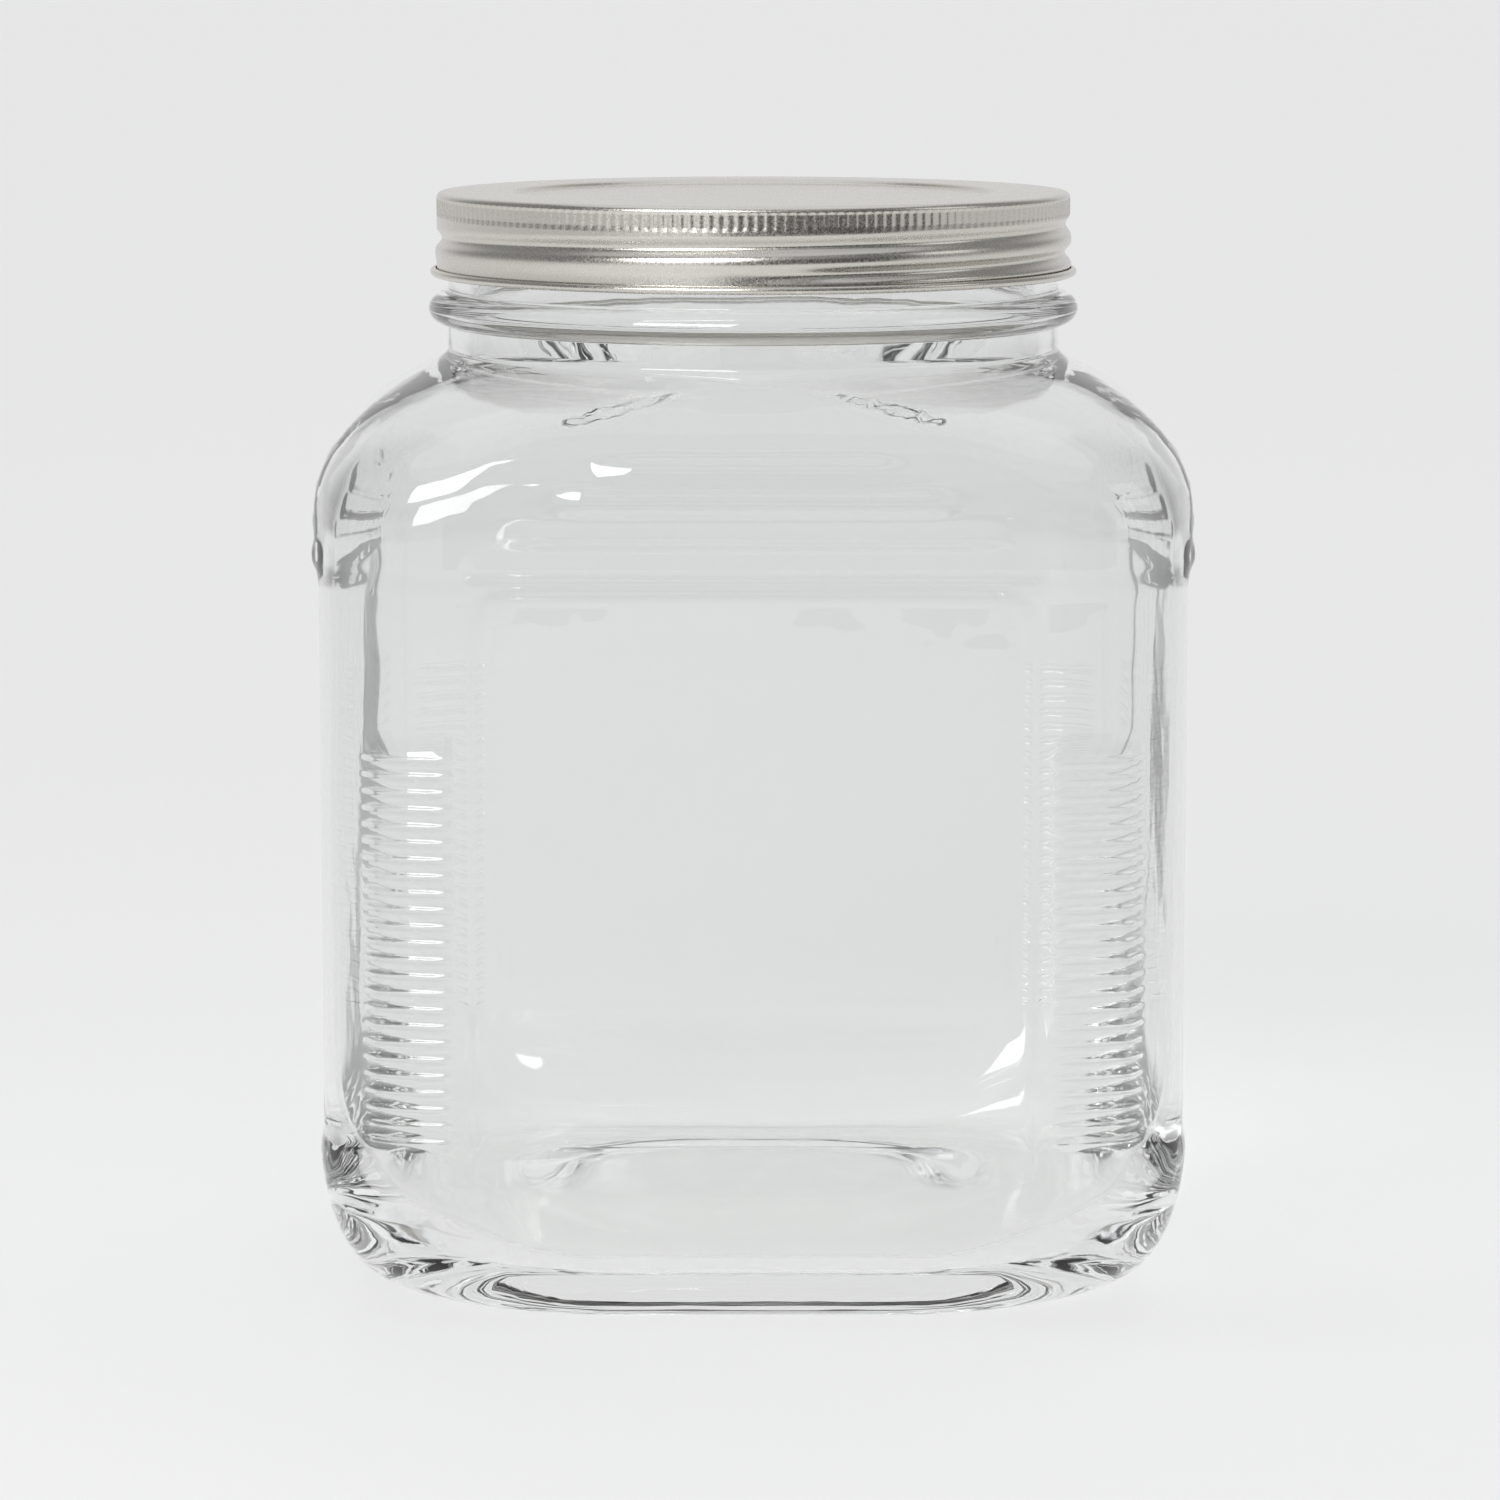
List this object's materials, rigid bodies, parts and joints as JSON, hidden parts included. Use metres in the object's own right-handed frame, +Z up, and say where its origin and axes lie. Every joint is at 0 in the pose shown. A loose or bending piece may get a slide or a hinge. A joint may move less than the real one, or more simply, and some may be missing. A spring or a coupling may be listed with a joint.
{
  "type": "glass storage jar with screw lid",
  "caption": "Square-shouldered clear glass jar with recessed panels, stepped shoulder and ribbed corners, closed by a satin steel screw lid.",
  "frame": {"origin": "centre of the foot, on the surface that the jar stands on", "axes": "+Z up along the neck's axis, X across the wide sides, Y across the narrow sides, front towards -Y"},
  "size_m": [0.1718, 0.1494, 0.2163],
  "materials": {
    "clear_glass": "clear, fire-polished, slightly wavy",
    "satin_steel": "fine satin grain, slightly warm",
    "sealing_ring": "soft off-white sealing compound"
  },
  "bodies": {
    "jar": {"glass_jar": "clear_glass"},
    "gasket": {"lid_gasket": "sealing_ring"},
    "lid": {"lid_shell": "satin_steel"}
  },
  "joints": [
    {"name": "lid_rise", "type": "slide", "parent": "jar", "child": "gasket", "axis": [0, 0, 1], "range_m": [0, 0.0248]},
    {"name": "lid_turn", "type": "hinge", "parent": "gasket", "child": "lid", "pos_m": [0, 0, 0.2148], "axis": [0, 0, 1], "range_deg": [0, 1620]}
  ],
  "couplings": [
    {"joint": "lid_rise", "follows": "lid_turn", "m_per_rad": 0.00087535}
  ]
}
